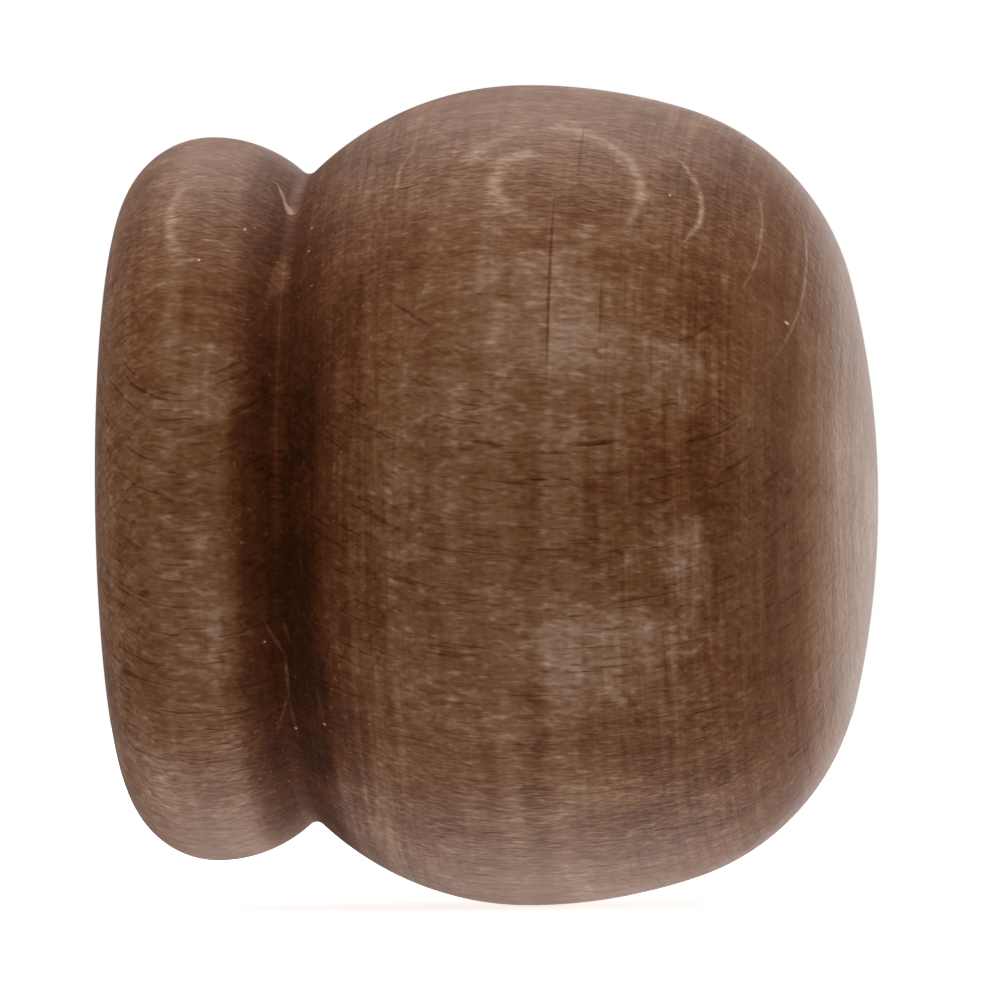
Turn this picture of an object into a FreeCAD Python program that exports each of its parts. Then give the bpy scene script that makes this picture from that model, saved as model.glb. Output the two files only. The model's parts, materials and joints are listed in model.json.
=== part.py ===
"""Curtain pole finial: a collar, a groove and a flattened ball, turned from one piece of hardwood.

The finial pushes over the end of a round wooden pole, which fills the socket bored in its back.
The turning axis is X. The flat back face lies at x = 0 and the ball points along +X. Z is up.
All sizes are in millimetres and all angles in degrees.

The turned outline is a chain of arcs, each tangent to the next. Its radii follow from the
places, diameters and radii below, so that the chain stays smooth when one of them changes.
"""
import FreeCAD, Part
import math
import os

# Lengths along the turning axis, each measured from the back face
OVERALL_LENGTH = 45.7
GROOVE_PLACE = 11.3
BALL_CREST = 24.4

# Diameters of the turned outline, and how far the groove is cut in below the collar's crest
COLLAR_DIAMETER = 44.2
GROOVE_DEPTH = 2.3
BALL_DIAMETER = 50.0

# The collar rolls over from the back face to its crest in a quarter circle
BACK_CORNER_RADIUS = 5.3

# The round bottom of the groove, left by the nose of the turning tool
GROOVE_BOTTOM_RADIUS = 1.4

# The front of the ball is flatter at its crest and at its tip than at the shoulder between them
SHOULDER_RADIUS = 14.6
CREST_SWEEP = 18.0
TIP_SWEEP = 13.4

# The socket for the pole: the bore has to clear the pole, and its mouth is eased
POLE_DIAMETER = 28.0
SOCKET_CLEARANCE = 0.25
SOCKET_DEPTH = 18.0
MOUTH_CHAMFER = 0.4

# The mark that the drill's centre point leaves in the floor of the socket
CENTRE_MARK_DIAMETER = 2.4
CENTRE_MARK_DEPTH = 1.2

NODE = "finial_body"
AXIS_POINT = FreeCAD.Vector(0, 0, 0)
AXIS_DIRECTION = FreeCAD.Vector(1, 0, 0)


def at(along, radius):
    """Return the point of the section that lies so far along the axis and so far out from it."""
    return FreeCAD.Vector(along, 0, radius)


class Outline:
    """A chain of tangent arcs, walked from the back face of the finial to its tip."""

    def __init__(self, start, heading):
        """Begin at a point, facing along a heading given as a slope away from the axis."""
        self.end = start
        self.heading = heading
        self.edges = []

    def bend(self, radius, turn):
        """Add an arc that turns away from the axis by so many degrees, or towards it if negative."""
        side = math.copysign(1, turn)
        centre = self.end + self.beside(self.heading, radius * side)
        middle = centre - self.beside(self.heading + turn / 2, radius * side)
        finish = centre - self.beside(self.heading + turn, radius * side)
        self.edges.append(Part.Arc(self.end, middle, finish).toShape())
        self.end = finish
        self.heading += turn

    @staticmethod
    def beside(heading, distance):
        """Return the step that goes so far square to the heading, away from the axis."""
        angle = math.radians(heading)
        return at(-math.sin(angle), math.cos(angle)) * distance


def sweep_between(crest, hollow):
    """Return the slope of the side between a crest and a hollow that two arcs join."""
    rise = abs(crest.z - hollow.z)
    run = abs(crest.x - hollow.x)
    return 2 * math.degrees(math.atan2(rise, run))


def crest_radius(crest, hollow, hollow_radius):
    """Return the radius of the arc at the crest, from the arc that rounds the hollow beside it."""
    run = abs(crest.x - hollow.x)
    return run / math.sin(math.radians(sweep_between(crest, hollow))) - hollow_radius


def ball_front_radii(crest, tip):
    """Return the radii at the ball's crest and at its tip.

    With the shoulder's radius and both sweeps given, the chain from the crest to the tip closes
    for one pair of radii. Its length along the axis and its drop towards the axis give them.
    """
    crest_sin = math.sin(math.radians(CREST_SWEEP))
    crest_cos = math.cos(math.radians(CREST_SWEEP))
    tip_sin = math.sin(math.radians(TIP_SWEEP))
    tip_cos = math.cos(math.radians(TIP_SWEEP))
    along = tip.x - crest.x - SHOULDER_RADIUS * (tip_cos - crest_sin)
    drop = crest.z - SHOULDER_RADIUS * (crest_cos - tip_sin)
    scale = crest_sin * tip_sin - (1 - crest_cos) * (1 - tip_cos)
    at_crest = (along * tip_sin - drop * (1 - tip_cos)) / scale
    at_tip = (drop * crest_sin - along * (1 - crest_cos)) / scale
    return at_crest, at_tip


def turned_outline():
    """Return the outline from the back face, over the collar and the groove, to the tip."""
    collar = at(BACK_CORNER_RADIUS, COLLAR_DIAMETER / 2)
    groove = at(GROOVE_PLACE, collar.z - GROOVE_DEPTH)
    ball = at(BALL_CREST, BALL_DIAMETER / 2)
    tip = at(OVERALL_LENGTH, 0)
    collar_slope = sweep_between(collar, groove)
    ball_slope = sweep_between(ball, groove)
    at_crest, at_tip = ball_front_radii(ball, tip)

    outline = Outline(at(0, collar.z - BACK_CORNER_RADIUS), 90)
    outline.bend(BACK_CORNER_RADIUS, -90)
    outline.bend(crest_radius(collar, groove, GROOVE_BOTTOM_RADIUS), -collar_slope)
    outline.bend(GROOVE_BOTTOM_RADIUS, collar_slope + ball_slope)
    outline.bend(crest_radius(ball, groove, GROOVE_BOTTOM_RADIUS), -ball_slope)
    outline.bend(at_crest, -CREST_SWEEP)
    outline.bend(SHOULDER_RADIUS, CREST_SWEEP + TIP_SWEEP - 90)
    outline.bend(at_tip, -TIP_SWEEP)
    return outline.edges


def socket_edges(tip, land):
    """Return the straight edges from the tip, along the axis and the socket, to the back land."""
    bore_radius = POLE_DIAMETER / 2 + SOCKET_CLEARANCE
    corners = [
        tip,
        at(SOCKET_DEPTH + CENTRE_MARK_DEPTH, 0),
        at(SOCKET_DEPTH, CENTRE_MARK_DIAMETER / 2),
        at(SOCKET_DEPTH, bore_radius),
        at(MOUTH_CHAMFER, bore_radius),
        at(0, bore_radius + MOUTH_CHAMFER),
        land,
    ]
    return [Part.LineSegment(a, b).toShape() for a, b in zip(corners, corners[1:])]


def turn_finial():
    """Return the finial as one solid, turned from its half section."""
    outline = turned_outline()
    land = outline[0].Vertexes[0].Point
    tip = outline[-1].Vertexes[-1].Point
    section = Part.Wire(outline + socket_edges(tip, land))
    return Part.Face(section).revolve(AXIS_POINT, AXIS_DIRECTION, 360)


finial = turn_finial()
os.makedirs("parts", exist_ok=True)
finial.exportStep(f"parts/{NODE}.step")
box = finial.BoundBox
print(f"{NODE}: {box.XLength:.2f} x {box.YLength:.2f} x {box.ZLength:.2f} mm,"
      f" {finial.Volume / 1000:.2f} cm3, valid {finial.isValid()}")
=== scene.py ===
"""Visual model of a curtain pole finial: a collar, a groove and a flattened ball in stained beech.

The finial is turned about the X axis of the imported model's frame. Its flat back face, with the
socket for the pole, lies at x = 0 and the ball points along +X. Sizes are fields in millimetres
and angles are in degrees, and the meshes are in metres.
"""
from __future__ import annotations

import json
import logging
import math
from dataclasses import dataclass, field
from enum import Enum
from typing import Any

import bpy
from mathutils import Matrix, Vector

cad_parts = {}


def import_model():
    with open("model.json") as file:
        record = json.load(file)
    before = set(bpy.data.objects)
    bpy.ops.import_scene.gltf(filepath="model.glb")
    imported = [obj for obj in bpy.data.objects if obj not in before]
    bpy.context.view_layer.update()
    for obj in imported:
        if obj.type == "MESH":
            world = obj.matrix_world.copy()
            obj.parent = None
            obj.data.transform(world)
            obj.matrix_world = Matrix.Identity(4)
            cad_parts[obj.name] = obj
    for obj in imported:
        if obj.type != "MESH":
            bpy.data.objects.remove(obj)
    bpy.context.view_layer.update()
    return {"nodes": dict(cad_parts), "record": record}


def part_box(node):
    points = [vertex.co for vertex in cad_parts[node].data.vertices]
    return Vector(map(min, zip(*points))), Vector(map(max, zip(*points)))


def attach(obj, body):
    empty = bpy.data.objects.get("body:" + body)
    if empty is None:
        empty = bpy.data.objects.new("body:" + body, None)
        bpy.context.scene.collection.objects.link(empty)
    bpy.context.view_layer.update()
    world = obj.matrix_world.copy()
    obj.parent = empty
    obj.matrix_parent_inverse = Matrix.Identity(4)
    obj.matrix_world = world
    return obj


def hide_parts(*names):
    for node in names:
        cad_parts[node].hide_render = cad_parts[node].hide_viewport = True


LOG = logging.getLogger("finial")

MM = 0.001
NODE = "finial_body"
RUN_ATTRIBUTE = "outline_run"
WHITE = "#ffffff"

# Where marks on the outside are centred, out from the axis, and how far in and out they reach
SKIN_RADIUS = 22.0
GROOVE_RADIUS = 20.0
MARK_REACH = 8.0
PATCH_REACH = 12.0
LINE_REACH = 20.0
ANY_REACH = 1000.0
HAIRLINE_HALF_WIDTH = 0.15
SPLIT_HALF_WIDTH = 0.16
SPLIT_OVERRUN = 1.24
SPECK_STRENGTH = 0.5


def linear(shade: str) -> tuple[float, float, float, float]:
    """Turn an sRGB hex colour into the linear colour that a socket takes.

    Args:
        shade: The colour as #rrggbb.

    Returns:
        Red, green, blue and an alpha of 1.
    """
    parts = [int(shade[i:i + 2], 16) / 255 for i in (1, 3, 5)]
    red, green, blue = (p / 12.92 if p <= 0.04045 else ((p + 0.055) / 1.055) ** 2.4 for p in parts)
    return red, green, blue, 1.0


def add_node(tree: bpy.types.NodeTree, kind: str, links: dict[int | str, Any] | None = None,
             **settings: Any) -> bpy.types.Node:
    """Add a node to a tree, with its settings and its inputs.

    Args:
        tree: The node tree that gets the node.
        kind: Blender's name for the type of node.
        links: For each input, by number or name, its value, or the socket or node that feeds it.
        settings: The node's own properties, such as its operation.

    Returns:
        The new node.
    """
    node = tree.nodes.new(kind)
    for name, value in settings.items():
        setattr(node, name, value)
    for key, source in (links or {}).items():
        if isinstance(source, bpy.types.Node):
            source = next(socket for socket in source.outputs if socket.enabled)
        if isinstance(source, bpy.types.NodeSocket):
            tree.links.new(source, node.inputs[key])
        else:
            node.inputs[key].default_value = source
    return node


def empty_tree(owner: bpy.types.Material | bpy.types.World) -> bpy.types.NodeTree:
    """Switch a material or a world to nodes, with none in its tree yet.

    Args:
        owner: The material or the world, as new.

    Returns:
        Its node tree.
    """
    owner.use_nodes = True
    owner.node_tree.nodes.clear()
    return owner.node_tree


def add_object(name: str, data: bpy.types.ID) -> bpy.types.Object:
    """Put something new into the scene, as an object at the origin.

    Args:
        name: Name of the object.
        data: Its mesh, curve, camera or light.

    Returns:
        The object.
    """
    made = bpy.data.objects.new(name, data)
    bpy.context.scene.collection.objects.link(made)
    return made


def way_out(azimuth: float, elevation: float = 0.0) -> Vector:
    """Return the way out from the finial, so far round from its front and so far up."""
    around, up = math.radians(azimuth), math.radians(elevation)
    return Vector((math.sin(around) * math.cos(up), -math.cos(around) * math.cos(up), math.sin(up)))


class Join(Enum):
    """How two knots of the section are joined."""

    STRAIGHT = "VECTOR"
    ARC = "FREE"


@dataclass
class Knot:
    """A point of the section, with its two handles and the kind of join on each side."""

    place: Vector
    handle_before: Vector
    handle_after: Vector
    join_before: Join = Join.STRAIGHT
    join_after: Join = Join.STRAIGHT


@dataclass
class Section:
    """Half section of turned work, drawn in the XY plane: X along the axis and Y out from it."""

    knots: list[Knot] = field(default_factory=list)
    heading: float = 0.0
    arc_steps: int = 28

    def line_to(self, along: float, radius: float) -> None:
        """Draw a straight line to a point, or start there when nothing is drawn yet.

        Args:
            along: The point's place along the axis.
            radius: Its distance from the axis.
        """
        place = Vector((along, radius, 0))
        if self.knots:
            step = place - self.knots[-1].place
            self.heading = math.degrees(math.atan2(step.y, step.x))
        self.knots.append(Knot(place, place.copy(), place.copy()))

    def bend(self, radius: float, turn: float) -> None:
        """Draw an arc that is tangent to what comes before it.

        Args:
            radius: Radius of the arc.
            turn: Angle it turns through, away from the axis, or towards it if negative.
        """
        start = self.knots[-1]
        beside = self._direction(self.heading + 90) * math.copysign(radius, turn)
        finish = start.place + beside - self._direction(self.heading + turn + 90) * math.copysign(
            radius, turn)
        reach = 4 / 3 * math.tan(math.radians(abs(turn)) / 4) * radius
        start.handle_after = start.place + self._direction(self.heading) * reach
        start.join_after = Join.ARC
        self.heading += turn
        before = finish - self._direction(self.heading) * reach
        self.knots.append(Knot(finish, before, finish.copy(), join_before=Join.ARC))

    def length(self) -> float:
        """Return the length of the knots' straight joins, in the units of the section."""
        pairs = zip(self.knots, self.knots[1:])
        return sum((b.place - a.place).length for a, b in pairs if a.join_after is Join.STRAIGHT)

    def to_object(self, name: str) -> bpy.types.Object:
        """Make the section into one open spline, in metres.

        Args:
            name: Name of the curve and of its object.

        Returns:
            The curve object.
        """
        curve = bpy.data.curves.new(name, "CURVE")
        curve.dimensions = "3D"
        spline = curve.splines.new("BEZIER")
        spline.resolution_u = self.arc_steps
        spline.bezier_points.add(len(self.knots) - 1)
        for point, knot in zip(spline.bezier_points, self.knots):
            point.co = knot.place * MM
            point.handle_left_type = knot.join_before.value
            point.handle_right_type = knot.join_after.value
            point.handle_left = knot.handle_before * MM
            point.handle_right = knot.handle_after * MM
        return add_object(name, curve)

    @staticmethod
    def _direction(heading: float) -> Vector:
        """Return the unit vector of a heading."""
        return Vector((math.cos(math.radians(heading)), math.sin(math.radians(heading)), 0))


@dataclass
class Lathe:
    """Geometry Nodes tree that turns a section about the X axis into one closed mesh.

    Sanding by hand sinks the outside unevenly, in patches of a few mm, and sets in a little past
    the land round the socket. An edge sharper than the corner angle keeps its edge in the shading.
    """

    steps_round: int = 336
    sanding_depth: float = 0.03
    sanding_patch: float = 7.0
    sanding_start: float = 2.0
    weld: float = 0.0005
    seed: int = 11
    corner: float = 30.0
    group: bpy.types.NodeTree = field(init=False)

    SOCKETS = (
        ("Section", "NodeSocketGeometry"),
        ("Steps Round", "NodeSocketInt"),
        ("Inside Run", "NodeSocketFloat"),
        ("Sanding Depth", "NodeSocketFloat"),
        ("Sanding Patch", "NodeSocketFloat"),
        ("Seed", "NodeSocketInt"),
        ("Corner Angle", "NodeSocketFloat"),
        ("Finish", "NodeSocketMaterial"),
    )

    def __post_init__(self) -> None:
        """Build the tree."""
        self.group = bpy.data.node_groups.new("turn_on_lathe", "GeometryNodeTree")
        for name, kind in self.SOCKETS:
            self.group.interface.new_socket(name, in_out="INPUT", socket_type=kind)
        self.group.interface.new_socket("Work", in_out="OUTPUT", socket_type="NodeSocketGeometry")
        given = add_node(self.group, "NodeGroupInput")
        turned = self._revolve(given)
        sanded = self._sand(given, turned)
        smooth = self._shade(given, sanded)
        real = add_node(self.group, "GeometryNodeRealizeInstances", {0: smooth})
        work = add_node(self.group, "GeometryNodeSetMaterial", {0: real, 2: given.outputs["Finish"]})
        add_node(self.group, "NodeGroupOutput", {0: work})

    def _revolve(self, given: bpy.types.Node) -> bpy.types.Node:
        """Bend a grid round the axis along the section, and weld its seam and its poles.

        Args:
            given: The tree's input node.

        Returns:
            The node that holds the welded mesh.
        """
        tree = self.group
        outline = add_node(tree, "GeometryNodeResampleCurve", {0: given.outputs["Section"]},
                           mode="EVALUATED")
        points = add_node(tree, "GeometryNodeAttributeDomainSize", {0: outline}, component="CURVE")
        columns = add_node(tree, "ShaderNodeMath", {0: given.outputs["Steps Round"], 1: 1.0},
                           operation="ADD")
        grid = add_node(tree, "GeometryNodeMeshGrid", {2: points.outputs["Point Count"], 3: columns})
        index = add_node(tree, "GeometryNodeInputIndex")
        half_past = add_node(tree, "ShaderNodeMath", {0: index, 1: 0.5}, operation="ADD")
        share = add_node(tree, "ShaderNodeMath", {0: half_past, 1: columns}, operation="DIVIDE")
        station = add_node(tree, "ShaderNodeMath", {0: share}, operation="FLOOR")
        passed = add_node(tree, "ShaderNodeMath", {0: station, 1: columns}, operation="MULTIPLY")
        step = add_node(tree, "ShaderNodeMath", {0: index, 1: passed}, operation="SUBTRACT")
        turn = add_node(tree, "ShaderNodeMath", {0: step, 1: given.outputs["Steps Round"]},
                        operation="DIVIDE")
        angle = add_node(tree, "ShaderNodeMath", {0: turn, 1: math.tau}, operation="MULTIPLY")
        cosine = add_node(tree, "ShaderNodeMath", {0: angle}, operation="COSINE")
        sine = add_node(tree, "ShaderNodeMath", {0: angle}, operation="SINE")

        place = add_node(tree, "GeometryNodeInputPosition")
        drawn = add_node(tree, "GeometryNodeSampleIndex",
                         {0: outline, "Value": place, "Index": station},
                         data_type="FLOAT_VECTOR")
        apart = add_node(tree, "ShaderNodeSeparateXYZ", {0: drawn})
        across = add_node(tree, "ShaderNodeMath", {0: apart.outputs[1], 1: cosine},
                          operation="MULTIPLY")
        upward = add_node(tree, "ShaderNodeMath", {0: apart.outputs[1], 1: sine},
                          operation="MULTIPLY")
        spot = add_node(tree, "ShaderNodeCombineXYZ", {0: apart.outputs[0], 1: across, 2: upward})
        bent = add_node(tree, "GeometryNodeSetPosition", {0: grid, 2: spot})

        spline = add_node(tree, "GeometryNodeSplineParameter")
        walked = add_node(tree, "GeometryNodeSampleIndex",
                          {0: outline, "Value": spline.outputs["Length"], "Index": station},
                          data_type="FLOAT")
        kept = add_node(tree, "GeometryNodeStoreNamedAttribute",
                        {0: bent, 2: RUN_ATTRIBUTE, "Value": walked}, data_type="FLOAT",
                        domain="POINT")
        welded = add_node(tree, "GeometryNodeMergeByDistance", {0: kept, 2: self.weld * MM})
        return add_node(tree, "GeometryNodeFlipFaces", {0: welded})

    def _sand(self, given: bpy.types.Node, turned: bpy.types.Node) -> bpy.types.Node:
        """Sink the outside by a few hundredths of a millimetre, as sanding by hand leaves it.

        Args:
            given: The tree's input node.
            turned: The node that holds the welded mesh.

        Returns:
            The node that holds the sanded mesh.
        """
        tree = self.group
        place = add_node(tree, "GeometryNodeInputPosition")
        pitch = add_node(tree, "ShaderNodeMath", {0: 1.0, 1: given.outputs["Sanding Patch"]},
                         operation="DIVIDE")
        patches = add_node(tree, "ShaderNodeTexNoise",
                           {0: place, "W": given.outputs["Seed"], 2: pitch, 3: 1.0},
                           noise_dimensions="4D")
        run = add_node(tree, "GeometryNodeInputNamedAttribute", {0: RUN_ATTRIBUTE},
                       data_type="FLOAT")
        start = given.outputs["Inside Run"]
        past = add_node(tree, "ShaderNodeMath", {0: start, 1: self.sanding_start * MM},
                        operation="ADD")
        outside = add_node(tree, "ShaderNodeMapRange", {0: run, 1: start, 2: past})
        depth = add_node(tree, "ShaderNodeMath", {0: patches, 1: given.outputs["Sanding Depth"]},
                         operation="MULTIPLY")
        sunk = add_node(tree, "ShaderNodeMath", {0: depth, 1: outside}, operation="MULTIPLY")
        inward = add_node(tree, "ShaderNodeMath", {0: sunk, 1: -1.0}, operation="MULTIPLY")
        normal = add_node(tree, "GeometryNodeInputNormal")
        offset = add_node(tree, "ShaderNodeVectorMath", {0: normal, "Scale": inward},
                          operation="SCALE")
        return add_node(tree, "GeometryNodeSetPosition", {0: turned, 3: offset})

    def _shade(self, given: bpy.types.Node, sanded: bpy.types.Node) -> bpy.types.Node:
        """Shade the work smooth but for the corners of its socket.

        Args:
            given: The tree's input node.
            sanded: The node that holds the sanded mesh.

        Returns:
            The node that holds the shaded mesh.
        """
        tree = self.group
        smooth = add_node(tree, "GeometryNodeSetShadeSmooth", {0: sanded, 2: True}, domain="FACE")
        angle = add_node(tree, "GeometryNodeInputMeshEdgeAngle")
        corner = add_node(tree, "FunctionNodeCompare", {0: angle, 1: given.outputs["Corner Angle"]},
                          operation="GREATER_THAN")
        return add_node(tree, "GeometryNodeSetShadeSmooth", {0: smooth, 1: corner, 2: False},
                        domain="EDGE")

    def turn(self, name: str, section: Section, inside_run: float,
             finish: bpy.types.Material) -> bpy.types.Object:
        """Turn a section into a finished object at the origin.

        Args:
            name: Name of the piece.
            section: The half section, from the depth of the socket round to the tip.
            inside_run: Length of the part of the section that isn't sanded.
            finish: The material of the whole piece.

        Returns:
            The piece, a plain mesh with no modifier.
        """
        blank = section.to_object(name + "_section")
        modifier = blank.modifiers.new("lathe", "NODES")
        modifier.node_group = self.group
        sockets = {item.name: item.identifier for item in self.group.interface.items_tree
                   if item.in_out == "INPUT"}
        values = {
            "Steps Round": self.steps_round,
            "Inside Run": inside_run * MM,
            "Sanding Depth": self.sanding_depth * MM,
            "Sanding Patch": self.sanding_patch * MM,
            "Seed": self.seed,
            "Corner Angle": math.radians(self.corner),
            "Finish": finish,
        }
        for label, value in values.items():
            modifier[sockets[label]] = value
        depsgraph = bpy.context.evaluated_depsgraph_get()
        mesh = bpy.data.meshes.new_from_object(blank.evaluated_get(depsgraph), depsgraph=depsgraph)
        mesh.name = name
        mesh.materials.clear()
        mesh.materials.append(finish)
        mesh.polygons.foreach_set("material_index", [0] * len(mesh.polygons))
        curve = blank.data
        bpy.data.objects.remove(blank)
        bpy.data.curves.remove(curve)
        return add_object(name, mesh)


class Space(Enum):
    """What the three numbers of a place, a pattern's size or a mark's size run along."""

    BOARD = "along the grain, across it, and down through the growth layers"
    OUTLINE = "along the turned outline, and twice round the work at a radius of 20 mm"
    LATHE = "along the axis, degrees up from the horizontal, and out from the axis"


Spaces = dict[Space, bpy.types.Node]


@dataclass(frozen=True)
class Slope:
    """A value that changes evenly between two places, and is level before and after them."""

    start: float
    end: float
    at_start: float = 0.0
    at_end: float = 1.0

    def inputs(self, source: Any) -> dict[int, Any]:
        """Return the inputs of the Map Range node that finds a place's value on the slope."""
        return {0: source, 1: self.start, 2: self.end, 3: self.at_start, 4: self.at_end}


@dataclass(frozen=True)
class Pattern:
    """A noise that lightens and darkens the wood.

    The size is that of its features, in mm along each number of its space, and the weight is how
    much it changes the tone. A pattern with a band shows only where the noise is that high.
    """

    space: Space
    size: tuple[float, float, float]
    detail: float
    roughness: float
    weight: float = 1.0
    band: Slope | None = None


@dataclass(frozen=True)
class Mark:
    """A single mark in the shape of a lens, pale, or dark where its strength is negative.

    The turn swings its long way, in the space's first two numbers.
    """

    space: Space
    middle: tuple[float, float, float]
    half: tuple[float, float, float]
    strength: float
    turn: float = 0.0


@dataclass(frozen=True)
class Ring:
    """A growth layer that shows as a ring, or as the arc of it that faces one way.

    The middle and the two half lengths are along the axis in mm and round the work in degrees.
    The width is a share of the ring's size. The arc reaches `turn` degrees to both sides of
    `facing`, which is counted up from the way to the tip.
    """

    middle: tuple[float, float]
    half: tuple[float, float]
    width: float
    facing: float
    turn: float
    strength: float


def layer_arc(depth: float, along: float, across: float, reach: float, half_thickness: float,
              strength: float) -> Mark:
    """Return the mark of a growth layer, where the surface cuts it at a given depth."""
    return Mark(Space.BOARD, (along, across, depth), (reach, reach, half_thickness), strength)


def hairline(along: float, low: float, high: float, strength: float) -> Mark:
    """Return a fine line that runs round the work.

    Args:
        along: Its place along the axis.
        low: Its lower end, in degrees above the horizontal.
        high: Its upper end.
        strength: How much it lightens the wood.

    Returns:
        The mark.
    """
    middle, half = (high + low) / 2, (high - low) / 2
    return Mark(Space.LATHE, (along, middle, SKIN_RADIUS),
                (HAIRLINE_HALF_WIDTH, half, LINE_REACH), strength)


def split(top: tuple[float, float], foot: tuple[float, float], strength: float) -> Mark:
    """Return a fine pale split in the stain of the groove.

    Args:
        top: Its upper end, in mm along the axis and degrees above the horizontal.
        foot: Its lower end.
        strength: How much it lightens the wood.

    Returns:
        The mark, which fades out a little past both ends.
    """
    ahead, rise = top[0] - foot[0], top[1] - foot[1]
    middle = ((top[0] + foot[0]) / 2, (top[1] + foot[1]) / 2, GROOVE_RADIUS)
    half = (SPLIT_HALF_WIDTH, math.hypot(ahead, rise) / 2 * SPLIT_OVERRUN, MARK_REACH)
    return Mark(Space.LATHE, middle, half, strength, turn=math.degrees(math.atan2(-ahead, rise)))


def speck(along: float, angle: float, size: float) -> Mark:
    """Return a pale speck of dust or a chip in the lacquer."""
    return Mark(Space.LATHE, (along, angle, SKIN_RADIUS),
                (size, math.degrees(size / SKIN_RADIUS), MARK_REACH), SPECK_STRENGTH)


def stain_and_highlight_patch(along: float, angle: float, reach: float, spread: float,
                strength: float) -> Mark:
    """Return a wide soft patch: a dark one where the wood took more of the stain, a pale one that is
    partly less stain and partly a painted highlight.
    """
    return Mark(Space.LATHE, (along, angle, SKIN_RADIUS), (reach, spread, PATCH_REACH), strength)


@dataclass(frozen=True)
class StainedBeech:
    """Beech, turned between centres, sanded, stained walnut brown and lacquered satin.

    The eye gets a brown that is darkest where stain has gathered in the groove, thin pale arcs
    where the growth layers come to the surface, short dark dashes that lie in those layers,
    streaks along the grain, fainter sanding marks round the work and a soft pale gloss. Painted
    highlights lie in the colour too: pale patches on the collar and the ball, a pale line along
    the bottom of the groove and, in part, the paler tip.

    A tone runs from 0, where the wood is darkest, to 1, where it is palest. Stops along a line
    give a place and what holds there.
    """

    name: str = "stained_beech_satin_lacquer"
    # The browns of the stain, from where it gathered to where it was rubbed off
    tones: tuple[tuple[float, str], ...] = (
        (0.0, "#1a0500"),
        (0.24, "#321302"),
        (0.41, "#582c13"),
        (0.525, "#6f4428"),
        (0.625, "#825b41"),
        (0.73, "#987762"),
        (0.825, "#ac8f7e"),
        (1.0, "#d2bdb4"),
    )
    # The stain's tone along the axis, over the collar, the groove at 12 mm and the ball. Its rise
    # from 41 mm to the tip is partly the wood's tone and partly painted light from the right side.
    stain: tuple[tuple[float, float], ...] = (
        (0.0, 0.53),
        (4.5, 0.56),
        (7.7, 0.54),
        (8.7, 0.445),
        (9.6, 0.36),
        (10.9, 0.31),
        (11.6, 0.25),
        (13.0, 0.235),
        (13.8, 0.29),
        (14.5, 0.41),
        (16.5, 0.485),
        (20.0, 0.545),
        (27.0, 0.565),
        (34.0, 0.545),
        (38.0, 0.52),
        (40.8, 0.495),
        (42.4, 0.58),
        (43.6, 0.67),
        (45.7, 0.73),
    )
    # From the lowest line of the work to its highest, how far the groove's tone nears the rim's
    rim_tone: float = 0.53
    groove_fade: tuple[tuple[float, float], ...] = (
        (-1.0, 0.5),
        (-0.85, 0.2),
        (-0.5, 0.0),
        (0.1, 0.0),
        (0.6, 0.35),
        (1.0, 0.75),
    )
    # How much of the sanding marks shows along the axis
    sanding: tuple[tuple[float, float], ...] = (
        (0.0, 0.25),
        (9.0, 0.35),
        (13.0, 0.8),
        (16.5, 1.0),
        (20.0, 0.4),
        (26.0, 0.25),
        (34.0, 0.8),
        (40.0, 0.9),
        (45.7, 0.5),
    )
    # The growth layers lean this far from level, dip a little along the axis, and wander
    layer_slope: float = 50.1
    layer_tilt: float = 0.0706
    layer_middle: float = 25.0
    wander_size: float = 0.8333
    wander_depth: float = 0.04
    # Clouds and figure are drawn at their real size. A fibre of 0.02 mm, a pore of 0.07 mm, a ray
    # of 0.1 mm, a scratch of 180 grit paper of 0.08 mm and a grain of dust of 0.05 mm are too fine
    # to show, so each is drawn as coarse as it needs to show: 0.2, 0.15, 0.24, 0.5 and 0.3 mm.
    clouds: Pattern = Pattern(Space.BOARD, (6.667, 2.5, 2.5), 0.0, 0.5, 0.055)
    figure: Pattern = Pattern(Space.BOARD, (2.0, 0.8333, 0.8333), 2.0, 0.8, 0.045)
    fibres: Pattern = Pattern(Space.BOARD, (0.7692, 0.2, 0.2), 1.0, 0.6, 0.035)
    pits: Pattern = Pattern(Space.BOARD, (0.4167, 0.3571, 0.3571), 0.0, 0.8, 0.035)
    turning_bands: Pattern = Pattern(Space.OUTLINE, (2.857, 33.33, 33.33), 2.0, 0.8, 0.045)
    sanding_marks: Pattern = Pattern(Space.OUTLINE, (0.5263, 8.333, 8.333), 2.0, 0.7, 0.06)
    streaks: Pattern = Pattern(Space.BOARD, (1.0, 0.3571, 0.3571), 1.0, 0.5, 0.075,
                               Slope(0.1, 0.7))
    rays: Pattern = Pattern(Space.BOARD, (4.0, 4.0, 0.2381), 1.0, 0.6, -0.085, Slope(0.46, 0.6))
    pores: Pattern = Pattern(Space.BOARD, (1.4286, 1.4286, 0.15385), 1.0, 0.5, -0.06,
                             Slope(0.42, 0.55))
    flecks: Pattern = Pattern(Space.BOARD, (1.6667, 0.2, 3.3333), 1.0, 0.5, -0.04,
                              Slope(0.4, 0.6))
    dust: Pattern = Pattern(Space.BOARD, (0.3125, 0.3125, 0.3125), 0.0, 0.5, 0.15,
                            Slope(0.5, 0.62))
    # Rays and pores show where the surface cuts the layers, and not where it lies along them
    cut_layers: Slope = Slope(0.8, 0.93, 1.0, 0.0)
    # By tone, how much dust lies there, and how strong the grain is
    dust_left: Slope = Slope(0.5, 0.42, 0.12, 1.0)
    contrast: Slope = Slope(0.3, 0.58, 0.8, 1.35)
    # Along the axis, how the grain fades towards the end grain at the tip
    tip_contrast: Slope = Slope(37.0, 43.0, 1.0, 0.5)
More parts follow.
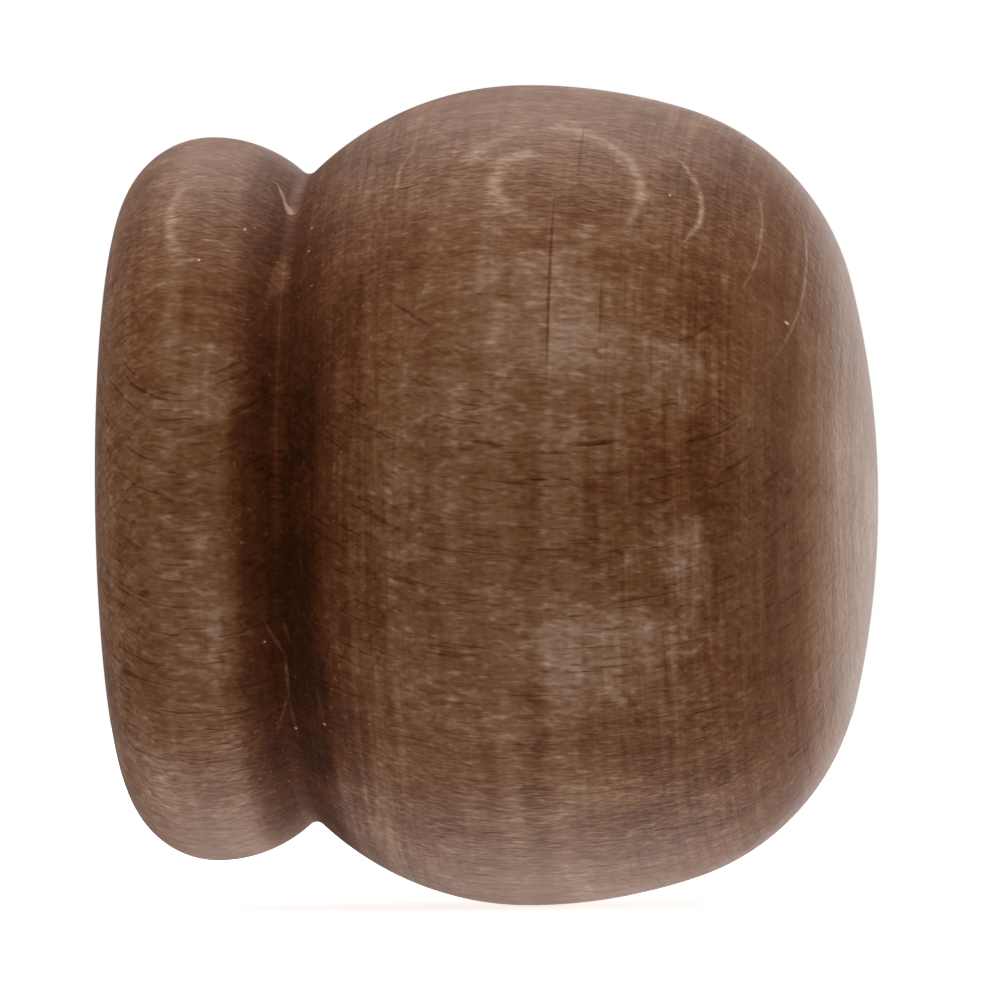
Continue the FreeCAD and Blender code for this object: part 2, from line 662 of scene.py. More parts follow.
    # By tone, how rough the lacquer is: satin on the ball and the collar, matt in the groove
    sheen: Slope = Slope(0.5, 0.32, 0.42, 0.85)
    # The lacquer has yellowed, so that it tints the little that it mirrors
    mirrored: float = 0.12
    mirrored_tint: str = "#fff7de"
    # The relief is this deep in mm, and the fibre patterns make a smaller part of it
    relief_depth: float = 0.3
    fibre_relief: float = 0.3
    # The socket is bare inside this radius and this depth in mm
    socket_radius: float = 14.8
    socket_depth: float = 19.5
    socket_tone: float = 0.5
    socket_roughness: float = 0.75
    # Rings are a little uneven, and the fibres break up each mark
    ring_wobble: Pattern = Pattern(Space.BOARD, (2.0, 2.0, 2.0), 2.0, 0.6, 0.03)
    fibre_gaps: Pattern = Pattern(Space.BOARD, (1.1111, 0.5556, 0.5556), 2.0, 0.7,
                                  band=Slope(-0.6, 0.2, 0.6))
    # A mark fades out over this share of its half size, in from its rim
    mark_rim: float = 0.6
    rings: tuple[Ring, ...] = (
        Ring((27.3, 48.6), (5.5, 13.6), 0.17, 38.0, 70.0, 0.15),
        Ring((27.3, 48.6), (5.5, 13.6), 0.12, -35.0, 100.0, 0.09),
        Ring((27.5, 48.3), (5.5, 13.2), 0.16, 150.0, 50.0, 0.10),
        Ring((27.5, 48.3), (6.0, 14.0), 0.12, 190.0, 45.0, 0.06),
        Ring((26.1, 48.6), (2.0, 5.8), 0.42, 160.0, 115.0, 0.19),
        Ring((32.2, 48.4), (4.15, 13.2), 0.08, 8.0, 55.0, 0.26),
        Ring((5.6, 50.3), (1.35, 8.0), 0.50, 180.0, 95.0, 0.12),
        Ring((5.6, 50.3), (1.35, 8.0), 0.25, 0.0, 360.0, 0.04),
    )
    marks: tuple[Mark, ...] = (
        layer_arc(23.37, 19.2, 1.8, 3.6, 0.10, 0.10),
        layer_arc(22.90, 37.5, 0.0, 3.5, 0.05, 0.04),
        layer_arc(22.54, 38.1, 0.0, 4.0, 0.05, 0.05),
        layer_arc(22.20, 38.6, 1.0, 3.5, 0.05, 0.04),
        layer_arc(21.32, 39.6, -0.5, 7.0, 0.10, 0.13),
        layer_arc(19.25, 41.5, 1.0, 6.0, 0.07, 0.05),
        layer_arc(18.50, 42.0, -1.5, 10.0, 0.14, 0.14),
        Mark(Space.BOARD, (10.6, 4.3, 18.50), (1.3, 3.0, 0.15), 0.38),
        Mark(Space.BOARD, (10.7, -2.9, 18.62), (1.4, 3.4, 0.42), 0.19),
        layer_arc(21.88, 19.8, -9.3, 2.4, 0.08, -0.12),
        layer_arc(23.15, 24.6, -9.3, 1.6, 0.06, -0.10),
        layer_arc(21.23, 36.6, -9.8, 1.9, 0.08, -0.10),
        layer_arc(19.24, 34.2, -14.6, 2.2, 0.08, -0.08),
        layer_arc(16.75, 3.5, -12.6, 3.6, 0.09, -0.17),
        layer_arc(16.80, 27.3, -18.5, 0.9, 0.07, -0.20),
        layer_arc(16.81, 28.9, -18.3, 0.5, 0.07, -0.15),
        # A pale line along the bottom of the groove: a painted highlight, where its narrow bottom
        # catches the light
        Mark(Space.LATHE, (11.2, 20.0, 20.0), (0.13, 42.0, 8.0), 0.07),
        hairline(27.78, 12.0, 50.5, -0.17),
        hairline(29.05, 49.0, 66.0, -0.12),
        hairline(30.85, 20.0, 33.0, -0.10),
        split((10.24, -20.7), (11.38, -28.6), 0.20),
        split((11.38, -28.0), (11.38, -37.0), 0.20),
        split((11.40, -36.0), (10.40, -45.0), 0.15),
        split((11.40, -38.0), (11.68, -46.0), 0.15),
        split((11.37, -21.5), (11.77, -26.1), 0.13),
        split((13.30, -32.5), (13.62, -39.8), 0.10),
        speck(10.28, -24.8, 0.12),
        speck(11.62, -44.0, 0.13),
        speck(13.60, -39.1, 0.13),
        speck(10.72, -58.4, 0.12),
        speck(41.44, 32.9, 0.22),
        speck(8.84, 49.3, 0.12),
        speck(12.78, 51.0, 0.12),
        speck(12.75, 45.2, 0.10),
        speck(13.16, 36.8, 0.10),
        speck(6.38, 40.4, 0.12),
        speck(34.51, 49.5, 0.10),
    )
    # Patches of uneven stain, dark and pale; the pale ones on the collar and the ball are also
    # painted highlights
    patches: tuple[Mark, ...] = (
        stain_and_highlight_patch(28.0, 23.0, 7.0, 12.0, 0.05),
        stain_and_highlight_patch(26.0, 30.0, 5.0, 9.0, 0.03),
        stain_and_highlight_patch(30.5, -23.0, 6.5, 11.0, 0.12),
        stain_and_highlight_patch(36.0, -11.0, 1.6, 11.0, 0.13),
        stain_and_highlight_patch(33.0, -9.0, 2.4, 4.5, 0.025),
        stain_and_highlight_patch(35.3, 18.5, 2.5, 10.0, 0.09),
        stain_and_highlight_patch(38.2, 14.5, 1.8, 8.0, 0.05),
        stain_and_highlight_patch(26.5, 18.0, 2.4, 6.0, 0.05),
        stain_and_highlight_patch(34.5, 1.0, 7.0, 8.0, -0.045),
        stain_and_highlight_patch(35.5, 50.0, 4.0, 16.0, -0.04),
        stain_and_highlight_patch(36.0, -42.0, 6.0, 12.0, -0.03),
        stain_and_highlight_patch(31.0, -58.0, 5.5, 14.0, -0.05),
        stain_and_highlight_patch(17.6, 27.0, 3.4, 17.0, -0.06),
        stain_and_highlight_patch(17.8, -14.0, 2.6, 8.0, -0.04),
        stain_and_highlight_patch(14.8, -58.0, 2.8, 13.0, 0.10),
        stain_and_highlight_patch(7.6, 18.5, 3.0, 9.0, 0.085),
        stain_and_highlight_patch(7.6, -22.0, 2.8, 11.0, 0.07),
        stain_and_highlight_patch(3.5, -20.0, 4.0, 14.0, 0.02),
        stain_and_highlight_patch(2.2, -52.0, 2.8, 15.0, 0.07),
    )

    def material(self) -> bpy.types.Material:
        """Build the finish, from the tone of the stain up to the gloss of the lacquer.

        Returns:
            The material.
        """
        made = bpy.data.materials.new(self.name)
        tree = empty_tree(made)
        spaces, inside, level = self._spaces(tree)
        along = add_node(tree, "ShaderNodeSeparateXYZ", {0: spaces[Space.LATHE]})
        # The stain's tone, with painted light from the right in its paler tip
        stained = self._stain_and_tip_light_tone(tree, spaces, along)
        # The patches lay painted highlights into the tone, as well as uneven stain
        stain_and_highlights = self._marks(tree, spaces, self.patches, stained)
        grain, relief = self._grain(tree, spaces, along, level, (stained, stain_and_highlights))
        marked = self._marks(tree, spaces, self.marks, self._rings(tree, spaces))

        deepened = add_node(tree, "ShaderNodeMapRange", self.contrast.inputs(stain_and_highlights))
        at_tip = add_node(tree, "ShaderNodeMapRange", self.tip_contrast.inputs(along))
        gain = add_node(tree, "ShaderNodeMath", {0: deepened, 1: at_tip}, operation="MULTIPLY")
        grained = add_node(tree, "ShaderNodeMath", {0: grain, 1: gain, 2: stain_and_highlights},
                           operation="MULTIPLY_ADD")
        broken = self._noise(tree, spaces, self.fibre_gaps)
        tone = add_node(tree, "ShaderNodeMath", {0: marked, 1: broken, 2: grained},
                        operation="MULTIPLY_ADD")
        shown = add_node(tree, "ShaderNodeMix", {0: inside, 2: tone, 3: self.socket_tone})
        colour = add_node(tree, "ShaderNodeValToRGB", {0: shown})
        self._set_tones(colour.color_ramp)

        matt = add_node(tree, "ShaderNodeMapRange", self.sheen.inputs(stain_and_highlights))
        rough = add_node(tree, "ShaderNodeMix", {0: inside, 2: matt, 3: self.socket_roughness})
        bump = add_node(tree, "ShaderNodeBump", {"Strength": 1.0, "Height": relief,
                                                 "Distance": self.relief_depth * MM})
        shader = add_node(tree, "ShaderNodeBsdfPrincipled",
                          {"Base Color": colour, "Roughness": rough, "IOR": 1.5,
                           "Specular IOR Level": self.mirrored,
                           "Specular Tint": linear(self.mirrored_tint), "Normal": bump})
        add_node(tree, "ShaderNodeOutputMaterial", {0: shader})
        return made

    def _set_tones(self, ramp: bpy.types.ColorRamp) -> None:
        """Give a ramp the colours of the stained wood, from the darkest to the palest.

        Args:
            ramp: The ramp, as new.
        """
        for element in list(ramp.elements)[1:]:
            ramp.elements.remove(element)
        for place, shade in self.tones:
            element = ramp.elements[0] if place == 0 else ramp.elements.new(place)
            element.position = place
            element.color = linear(shade)

    def _grain(self, tree: bpy.types.NodeTree, spaces: Spaces, along: bpy.types.Node,
               level: bpy.types.Node, tones: tuple[bpy.types.Node, bpy.types.Node]
               ) -> tuple[bpy.types.Node, bpy.types.Node]:
        """Add up the patterns of the wood.

        Args:
            tree: The material's node tree.
            spaces: The nodes of the spaces.
            along: The node that holds the place along the axis.
            level: The node that is 1 where the surface lies along the growth layers.
            tones: The nodes that hold the stain's tone without its patches of uneven stain and
                painted
            highlight, and with them. The relief takes the first, which spares the bump the nodes of
            the patches.

        Returns:
            How much they lighten the wood, and the height of its relief.
        """
        grain: Any = 0.0
        for pattern in (self.clouds, self.figure, self.fibres, self.pits, self.turning_bands):
            grain = add_node(tree, "ShaderNodeMath",
                             {0: self._noise(tree, spaces, pattern), 1: pattern.weight, 2: grain},
                             operation="MULTIPLY_ADD")
        rubbed = add_node(tree, "ShaderNodeMath",
                          {0: self._noise(tree, spaces, self.sanding_marks),
                           1: self._follow(tree, along, self.sanding)}, operation="MULTIPLY")
        grain = add_node(tree, "ShaderNodeMath",
                         {0: rubbed, 1: self.sanding_marks.weight, 2: grain},
                         operation="MULTIPLY_ADD")
        relief = grain
        cut = add_node(tree, "ShaderNodeMapRange", self.cut_layers.inputs(level))
        dusty = [add_node(tree, "ShaderNodeMapRange", self.dust_left.inputs(tone))
                 for tone in tones]
        for pattern, shares in ((self.streaks, (1.0, 1.0)), (self.rays, (cut, cut)),
                                (self.pores, (cut, cut)), (self.flecks, (1.0, 1.0)),
                                (self.dust, dusty)):
            noise = self._noise(tree, spaces, pattern)
            deep, shown = (add_node(tree, "ShaderNodeMath", {0: noise, 1: share},
                                    operation="MULTIPLY") for share in shares)
            grain = add_node(tree, "ShaderNodeMath", {0: shown, 1: pattern.weight, 2: grain},
                             operation="MULTIPLY_ADD")
            relief = add_node(tree, "ShaderNodeMath",
                              {0: deep, 1: pattern.weight * self.fibre_relief, 2: relief},
                              operation="MULTIPLY_ADD")
        return grain, relief

    def _spaces(self, tree: bpy.types.NodeTree
                ) -> tuple[Spaces, bpy.types.Node, bpy.types.Node]:
        """Add the three spaces that the patterns and the marks are laid out in.

        Args:
            tree: The material's node tree.

        Returns:
            The node that holds the place in each space, the one that is 1 in the socket, and the
            one that is 1 where the surface lies along the growth layers and 0 where it cuts them.
        """
        slope = math.radians(self.layer_slope)
        held = add_node(tree, "ShaderNodeTexCoord")
        spot = add_node(tree, "ShaderNodeVectorMath",
                        {0: held.outputs["Object"], 1: (1 / MM,) * 3}, operation="MULTIPLY")
        parts = add_node(tree, "ShaderNodeSeparateXYZ", {0: spot})
        down = (self.layer_tilt, -math.cos(slope), math.sin(slope))
        deep = add_node(tree, "ShaderNodeVectorMath", {0: spot, 1: down}, operation="DOT_PRODUCT")
        across = add_node(tree, "ShaderNodeVectorMath",
                          {0: spot, 1: (0, math.sin(slope), math.cos(slope))},
                          operation="DOT_PRODUCT")
        even = add_node(tree, "ShaderNodeMath",
                        {0: deep.outputs["Value"], 1: self.layer_middle * self.layer_tilt},
                        operation="SUBTRACT")
        wander = add_node(tree, "ShaderNodeTexNoise",
                          {0: spot, 2: 1 / self.wander_size, 3: 3.0, 4: 0.6}, normalize=False)
        depth = add_node(tree, "ShaderNodeMath", {0: wander, 1: self.wander_depth, 2: even},
                         operation="MULTIPLY_ADD")
        board = add_node(tree, "ShaderNodeCombineXYZ",
                         {0: parts.outputs[0], 1: across.outputs["Value"], 2: depth})

        flat = add_node(tree, "ShaderNodeVectorMath", {0: spot, 1: (0, 1, 1)},
                        operation="MULTIPLY")
        out = add_node(tree, "ShaderNodeVectorMath", {0: flat}, operation="LENGTH")
        toward = add_node(tree, "ShaderNodeMath", {0: parts.outputs[1], 1: -1.0},
                          operation="MULTIPLY")
        turn = add_node(tree, "ShaderNodeMath", {0: parts.outputs[2], 1: toward},
                        operation="ARCTAN2")
        angle = add_node(tree, "ShaderNodeMath", {0: turn}, operation="DEGREES")
        lathe = add_node(tree, "ShaderNodeCombineXYZ",
                         {0: parts.outputs[0], 1: angle, 2: out.outputs["Value"]})

        run = add_node(tree, "ShaderNodeAttribute", attribute_name=RUN_ATTRIBUTE)
        ahead = add_node(tree, "ShaderNodeMath", {0: run.outputs["Fac"], 1: 1 / MM},
                         operation="MULTIPLY")
        unit = add_node(tree, "ShaderNodeVectorMath", {0: flat}, operation="NORMALIZE")
        rim = add_node(tree, "ShaderNodeVectorMath", {0: unit, 1: (GROOVE_RADIUS,) * 3},
                       operation="MULTIPLY")
        rim_parts = add_node(tree, "ShaderNodeSeparateXYZ", {0: rim})
        outline = add_node(tree, "ShaderNodeCombineXYZ",
                           {0: ahead, 1: rim_parts.outputs[1], 2: rim_parts.outputs[2]})

        bored = add_node(tree, "ShaderNodeMath",
                         {0: out.outputs["Value"], 1: self.socket_radius}, operation="LESS_THAN")
        short = add_node(tree, "ShaderNodeMath", {0: parts.outputs[0], 1: self.socket_depth},
                         operation="LESS_THAN")
        inside = add_node(tree, "ShaderNodeMath", {0: bored, 1: short}, operation="MULTIPLY")
        share = add_node(tree, "ShaderNodeMath", {0: even, 1: out.outputs["Value"]},
                         operation="DIVIDE")
        level = add_node(tree, "ShaderNodeMath", {0: share}, operation="ABSOLUTE")
        return {Space.BOARD: board, Space.LATHE: lathe, Space.OUTLINE: outline}, inside, level

    def _stain_and_tip_light_tone(self, tree: bpy.types.NodeTree, spaces: Spaces,
                    along: bpy.types.Node) -> bpy.types.Node:
        """Add the tone of the stain, darkest in the groove and less so near its top and bottom; its
        pale tip is partly painted light.

        Args:
            tree: The material's node tree.
            spaces: The nodes of the spaces.
            along: The node that holds the place along the axis.

        Returns:
            The node that holds the tone, from 0 to 1.
        """
        front = self._follow(tree, along, self.stain)
        round_work = add_node(tree, "ShaderNodeSeparateXYZ", {0: spaces[Space.OUTLINE]})
        height = add_node(tree, "ShaderNodeMath", {0: round_work.outputs[2], 1: GROOVE_RADIUS},
                          operation="DIVIDE")
        fade = self._follow(tree, height, self.groove_fade)
        return add_node(tree, "ShaderNodeMix", {0: fade, 2: front, 3: self.rim_tone})

    @staticmethod
    def _follow(tree: bpy.types.NodeTree, source: bpy.types.Node,
                stops: tuple[tuple[float, float], ...]) -> bpy.types.Node:
        """Add a value that follows a line of stops.

        Args:
            tree: The material's node tree.
            source: The node whose value is looked up among the stops.
            stops: Place and value of each stop.

        Returns:
            The node that holds the value.
        """
        low, high = stops[0][0], stops[-1][0]
        share = add_node(tree, "ShaderNodeMapRange", Slope(low, high).inputs(source))
        curve = add_node(tree, "ShaderNodeFloatCurve", {1: share})
        points = curve.mapping.curves[0].points
        for place, value in stops[1:-1]:
            points.new((place - low) / (high - low), value)
        points[0].location = (0.0, stops[0][1])
        points[-1].location = (1.0, stops[-1][1])
        curve.mapping.update()
        return curve

    @staticmethod
    def _noise(tree: bpy.types.NodeTree, spaces: Spaces, pattern: Pattern) -> bpy.types.Node:
        """Add the noise of a pattern in its space.

        Args:
            tree: The material's node tree.
            spaces: The nodes of the spaces.
            pattern: The pattern.

        Returns:
            The node that holds the noise, about from -1 to 1, or how far it is up its band.
        """
        place = add_node(tree, "ShaderNodeVectorMath",
                         {0: spaces[pattern.space], 1: tuple(1 / size for size in pattern.size)},
                         operation="MULTIPLY")
        noise = add_node(tree, "ShaderNodeTexNoise",
                         {0: place, 2: 1.0, 3: pattern.detail, 4: pattern.roughness},
                         normalize=False)
        if pattern.band is None:
            return noise
        return add_node(tree, "ShaderNodeMapRange", pattern.band.inputs(noise))

    @staticmethod
    def _from_middle(tree: bpy.types.NodeTree, place: bpy.types.Node,
                     middle: tuple[float, float, float], half: tuple[float, float, float],
                     turn: float = 0.0) -> bpy.types.Node:
        """Add the way from the middle of a mark, counted in its half sizes.

        Args:
            tree: The material's node tree.
            place: The node that holds the place in the mark's space.
            middle: The middle of the mark.
            half: Half of its size along each number of the space.
            turn: How far its long way is swung. A Mapping node costs more, so only this takes it.

        Returns:
            The node that holds the way.
        """
        if turn:
            return add_node(tree, "ShaderNodeMapping",
                            {0: place, 1: middle, 2: (0.0, 0.0, math.radians(turn)), 3: half},
                            vector_type="TEXTURE")
        scale = tuple(1 / size for size in half)
        offset = tuple(-start / size for start, size in zip(middle, half))
        return add_node(tree, "ShaderNodeVectorMath", {0: place, 1: scale, 2: offset},
                        operation="MULTIPLY_ADD")

    def _marks(self, tree: bpy.types.NodeTree, spaces: Spaces, marks: tuple[Mark, ...],
               total: bpy.types.Node) -> bpy.types.Node:
        """Add single marks to a tone, each a lens that fades towards its rim.

        Args:
            tree: The material's node tree.
            spaces: The nodes of the spaces.
            marks: The marks.
            total: The node that holds the tone without them.

        Returns:
            The node that holds the tone with them.
        """
        for mark in marks:
            place = self._from_middle(tree, spaces[mark.space], mark.middle, mark.half, mark.turn)
            lens = add_node(tree, "ShaderNodeTexGradient", {0: place}, gradient_type="SPHERICAL")
            rise = Slope(0.0, self.mark_rim, 0.0, mark.strength)
            shown = add_node(tree, "ShaderNodeMapRange", rise.inputs(lens.outputs[1]),
                             interpolation_type="SMOOTHSTEP")
            total = add_node(tree, "ShaderNodeMath", {0: shown, 1: total}, operation="ADD")
        return total

    def _rings(self, tree: bpy.types.NodeTree, spaces: Spaces) -> bpy.types.Node:
        """Add the growth layers that show as rings, each a little uneven.

        Args:
            tree: The material's node tree.
            spaces: The nodes of the spaces.

        Returns:
            The node that holds how much they lighten the wood.
        """
        wobble = add_node(tree, "ShaderNodeMath",
                          {0: self._noise(tree, spaces, self.ring_wobble),
                           1: self.ring_wobble.weight, 2: -1.0}, operation="MULTIPLY_ADD")
        total: Any = 0.0
        for ring in self.rings:
            place = self._from_middle(tree, spaces[Space.LATHE], (*ring.middle, SKIN_RADIUS),
                                      (*ring.half, ANY_REACH))
            radius = add_node(tree, "ShaderNodeVectorMath", {0: place}, operation="LENGTH")
            past = add_node(tree, "ShaderNodeMath", {0: radius, 1: wobble}, operation="ADD")
            off = add_node(tree, "ShaderNodeMath", {0: past}, operation="ABSOLUTE")
            share: Any = 1.0
            if ring.turn < 180:
                facing, turn = math.radians(ring.facing), math.radians(ring.turn)
                toward = add_node(tree, "ShaderNodeVectorMath",
                                  {0: place, 1: (math.cos(facing), math.sin(facing), 0.0)},
                                  operation="DOT_PRODUCT")
                arc = Slope(math.cos(turn), math.cos(turn / 2))
                share = add_node(tree, "ShaderNodeMapRange", arc.inputs(toward))
            edge = add_node(tree, "ShaderNodeMath", {0: share, 1: ring.width},
                            operation="MULTIPLY")
            line = add_node(tree, "ShaderNodeMapRange", {0: off, 1: edge, 2: 0.0},
                            interpolation_type="SMOOTHSTEP")
            shown = add_node(tree, "ShaderNodeMath", {0: line, 1: share}, operation="MULTIPLY")
            total = add_node(tree, "ShaderNodeMath", {0: shown, 1: ring.strength, 2: total},
                             operation="MULTIPLY_ADD")
        return total


@dataclass
class TurnedFinial:
    """The finial: its turned outline, the socket in its back, and the one piece they make."""

    length: float
    ball_diameter: float
    bore_radius: float
    groove_place: float = 11.3
    ball_crest: float = 24.4
    collar_diameter: float = 44.2
    groove_diameter: float = 39.6
    back_corner: float = 5.3
    # The photograph shows a sharper bottom than the solid's, whose radius is 1.4 mm
    groove_bottom: float = 0.8
    shoulder: float = 14.6
    crest_sweep: float = 18.0
    tip_sweep: float = 13.4
    socket_depth: float = 18.0
    mouth_chamfer: float = 0.4
    centre_mark: float = 1.2

    def section(self) -> tuple[Section, float]:
        """Draw the half section, from the depth of the socket round to the tip.

        Returns:
            The section, and the length of its part that lies inside the socket and on the land.
        """
        section = Section()
        section.line_to(self.socket_depth + self.centre_mark, 0)
        section.line_to(self.socket_depth, self.centre_mark)
        section.line_to(self.socket_depth, self.bore_radius)
        section.line_to(self.mouth_chamfer, self.bore_radius)
        section.line_to(0, self.bore_radius + self.mouth_chamfer)
        section.line_to(0, self.collar_diameter / 2 - self.back_corner)
        inside = section.length()

        collar = Vector((self.back_corner, self.collar_diameter / 2))
        groove = Vector((self.groove_place, self.groove_diameter / 2))
        ball = Vector((self.ball_crest, self.ball_diameter / 2))
        collar_slope, collar_radius = self._side(collar, groove)
        ball_slope, ball_radius = self._side(ball, groove)
        at_crest, at_tip = self._ball_front()
        section.bend(self.back_corner, -90)
        section.bend(collar_radius, -collar_slope)
        section.bend(self.groove_bottom, collar_slope + ball_slope)
        section.bend(ball_radius, -ball_slope)
        section.bend(at_crest, -self.crest_sweep)
        section.bend(self.shoulder, self.crest_sweep + self.tip_sweep - 90)
        section.bend(at_tip, -self.tip_sweep)
        return section, inside

    def _side(self, crest: Vector, hollow: Vector) -> tuple[float, float]:
        """Work out the side of the groove that goes down from a crest.

        Args:
            crest: Place of the crest, along the axis and out from it.
            hollow: Place of the bottom of the groove.

        Returns:
            The slope of the side, and the radius of the arc at the crest.
        """
        run = abs(crest.x - hollow.x)
        slope = 2 * math.atan2(crest.y - hollow.y, run)
        return math.degrees(slope), run / math.sin(slope) - self.groove_bottom

    def _ball_front(self) -> tuple[float, float]:
        """Work out the arcs that close the front of the ball, on both sides of its shoulder.

        Returns:
            The radius at the crest and the one at the tip.
        """
        crest, tip = math.radians(self.crest_sweep), math.radians(self.tip_sweep)
        along = self.length - self.ball_crest - self.shoulder * (math.cos(tip) - math.sin(crest))
        drop = self.ball_diameter / 2 - self.shoulder * (math.cos(crest) - math.sin(tip))
        crest_drop, tip_run = 1 - math.cos(crest), 1 - math.cos(tip)
        scale = math.sin(crest) * math.sin(tip) - crest_drop * tip_run
        at_crest = (along * math.sin(tip) - drop * tip_run) / scale
        at_tip = (drop * math.sin(crest) - along * crest_drop) / scale
        return at_crest, at_tip

    def build(self, lathe: Lathe, finish: StainedBeech) -> bpy.types.Object:
        """Turn the finial and put it in the frame in place of its CAD node.

        Args:
            lathe: The tree that turns it.
            finish: The finish of the whole piece.

        Returns:
            The piece.
        """
        section, inside = self.section()
        piece = lathe.turn("finial_turned", section, inside, finish.material())
        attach(piece, "root")
        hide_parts(NODE)
        return piece


@dataclass(frozen=True)
class SoftBox:
    """A square area lamp: where it stands and how large and strong it is."""

    name: str
    azimuth: float
    elevation: float
    distance: float
    size: float
    watts: float


@dataclass(frozen=True)
class WhitePaper:
    """Matt white paper, which gives the eye a clean white with a soft shadow on it."""

    name: str = "white_paper"
    white: str = "#e7e7e7"
    glow: float = 0.8

    def material(self) -> bpy.types.Material:
        """Build the paper, with its glow for the camera alone and clear from underneath.

        Returns:
            The material.
        """
        made = bpy.data.materials.new(self.name)
        tree = empty_tree(made)
        paper = add_node(tree, "ShaderNodeBsdfDiffuse", {0: linear(self.white)})
        glow = add_node(tree, "ShaderNodeEmission", {0: linear(WHITE), 1: self.glow})
        shown = add_node(tree, "ShaderNodeAddShader", {0: paper, 1: glow})
        path = add_node(tree, "ShaderNodeLightPath")
        seen = add_node(tree, "ShaderNodeMixShader", {0: path.outputs["Is Camera Ray"], 1: paper,
                                                      2: shown})
        below = add_node(tree, "ShaderNodeNewGeometry")
        clear = add_node(tree, "ShaderNodeBsdfTransparent")
        sheet = add_node(tree, "ShaderNodeMixShader", {0: below.outputs["Backfacing"], 1: seen,
                                                       2: clear})
        add_node(tree, "ShaderNodeOutputMaterial", {0: sheet})
        return made


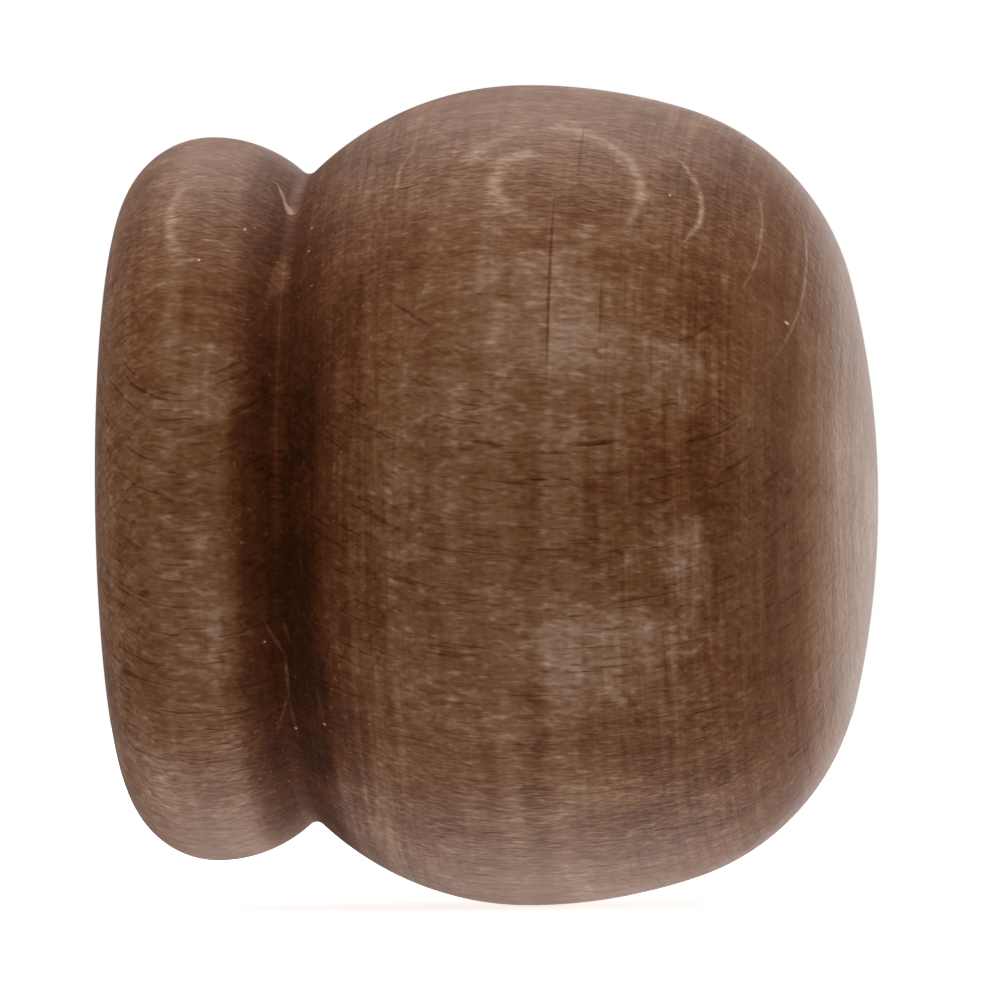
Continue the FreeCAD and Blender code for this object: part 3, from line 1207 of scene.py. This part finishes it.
@dataclass
class Studio:
    """The plain pale floor, the soft light round the finial and the camera.

    The room's light is even, but for the stronger light from its two ends, straight above and
    below. The ends' light narrows with its focus, and the upper end leans back by its tilt.
    """

    target: tuple[float, float, float] = (23.0, 0.0, 0.0)
    camera_distance: float = 731.6
    camera_azimuth: float = 5.37
    camera_roll: float = 0.66
    lens: float = 432.0
    sensor: float = 36.0
    clip: tuple[float, float] = (0.05, 20.0)
    shift: tuple[float, float] = (-0.005, -0.0045)
    floor_drop: float = 25.0
    floor_size: float = 1200.0
    room_light: float = 0.48
    ends_light: float = 4.2
    ends_tilt: float = 26.0
    ends_focus: float = 10.0
    boxes: tuple[SoftBox, ...] = (
        SoftBox("softbox_above_front", -20.0, 40.0, 600.0, 560.0, 1.0),
        SoftBox("softbox_below_front", 0.0, -50.0, 600.0, 560.0, 0.2),
        SoftBox("softbox_right", 95.0, 0.0, 600.0, 560.0, 1.0),
        SoftBox("softbox_behind_right", 165.0, 0.0, 600.0, 400.0, 0.8),
    )

    def place_camera(self) -> None:
        """Stand the camera where the photograph was taken from."""
        roll = math.radians(self.camera_roll)
        back, level = way_out(self.camera_azimuth), way_out(self.camera_azimuth + 90)
        right = level * math.cos(roll) - Vector((0, 0, 1)) * math.sin(roll)
        upward = back.cross(right)
        data = bpy.data.cameras.new("photo_camera")
        data.lens = self.lens
        data.sensor_width = self.sensor
        data.shift_x, data.shift_y = self.shift
        data.clip_start, data.clip_end = self.clip
        camera = add_object("photo_camera", data)
        turned = Matrix((right, upward, back)).transposed().to_4x4()
        place = (Vector(self.target) + back * self.camera_distance) * MM
        camera.matrix_world = Matrix.Translation(place) @ turned
        bpy.context.scene.camera = camera

    def hang_boxes(self) -> None:
        """Hang the soft boxes, each turned to the finial."""
        for box in self.boxes:
            away = way_out(box.azimuth, box.elevation)
            data = bpy.data.lights.new(box.name, "AREA")
            data.shape = "SQUARE"
            data.size = box.size * MM
            data.energy = box.watts
            lamp = add_object(box.name, data)
            place = (Vector(self.target) + away * box.distance) * MM
            aimed = away.to_track_quat("Z", "Y").to_matrix().to_4x4()
            lamp.matrix_world = Matrix.Translation(place) @ aimed
            lamp.visible_camera = False

    def light_room(self) -> None:
        """Light the room softly, most from straight above and below, before a white backdrop."""
        world = bpy.data.worlds.new("light_tent")
        tree = empty_tree(world)
        way = add_node(tree, "ShaderNodeTexCoord")
        parts = add_node(tree, "ShaderNodeSeparateXYZ", {0: way.outputs["Generated"]})
        height = add_node(tree, "ShaderNodeMath", {0: parts.outputs[2]}, operation="ABSOLUTE")
        tilt = math.radians(self.ends_tilt)
        steep = add_node(tree, "ShaderNodeMath", {0: height, 1: math.cos(tilt)},
                         operation="MULTIPLY")
        behind = add_node(tree, "ShaderNodeMath", {0: parts.outputs[1], 1: math.sin(tilt),
                                                   2: steep}, operation="MULTIPLY_ADD")
        above = add_node(tree, "ShaderNodeMath", {0: behind, 1: 0.0}, operation="MAXIMUM")
        ends = add_node(tree, "ShaderNodeMath", {0: above, 1: self.ends_focus},
                        operation="POWER")
        level = add_node(tree, "ShaderNodeMath", {0: ends, 1: self.ends_light,
                                                  2: self.room_light}, operation="MULTIPLY_ADD")
        room = add_node(tree, "ShaderNodeBackground", {0: linear(WHITE), 1: level})
        backdrop = add_node(tree, "ShaderNodeBackground", {0: linear(WHITE), 1: 1.0})
        path = add_node(tree, "ShaderNodeLightPath")
        seen = add_node(tree, "ShaderNodeMixShader", {0: path.outputs["Is Camera Ray"], 1: room,
                                                      2: backdrop})
        add_node(tree, "ShaderNodeOutputWorld", {0: seen})
        bpy.context.scene.world = world

    def lay_floor(self) -> None:
        """Lay the floor just under the ball."""
        half, drop = self.floor_size / 2 * MM, -self.floor_drop * MM
        edges = ((-half, -half), (half, -half), (half, half), (-half, half))
        mesh = bpy.data.meshes.new("floor")
        mesh.from_pydata([(x, y, drop) for x, y in edges], [], [(0, 1, 2, 3)])
        mesh.materials.append(WhitePaper().material())
        floor = add_object("floor", mesh)
        floor.visible_diffuse = floor.visible_glossy = floor.visible_shadow = False


def main() -> None:
    """Load the frame, and build the finial and its studio."""
    logging.basicConfig(level=logging.INFO, format="%(name)s: %(message)s")
    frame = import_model()
    low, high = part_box(frame["nodes"][NODE].name)
    mounts = {mount["name"]: mount for mount in frame["record"]["mounts"]}
    finial = TurnedFinial(
        length=(high.x - low.x) / MM,
        ball_diameter=(high.z - low.z) / MM,
        bore_radius=mounts["pole_socket"]["dims"]["r_mm"],
    )
    studio = Studio()
    studio.place_camera()
    studio.light_room()
    studio.hang_boxes()
    studio.lay_floor()
    piece = finial.build(Lathe(), StainedBeech())
    LOG.info("%s: %d vertices, %d faces", piece.name, len(piece.data.vertices),
             len(piece.data.polygons))
    bpy.context.scene.view_settings.view_transform = "Standard"


if __name__ == "__main__":
    main()
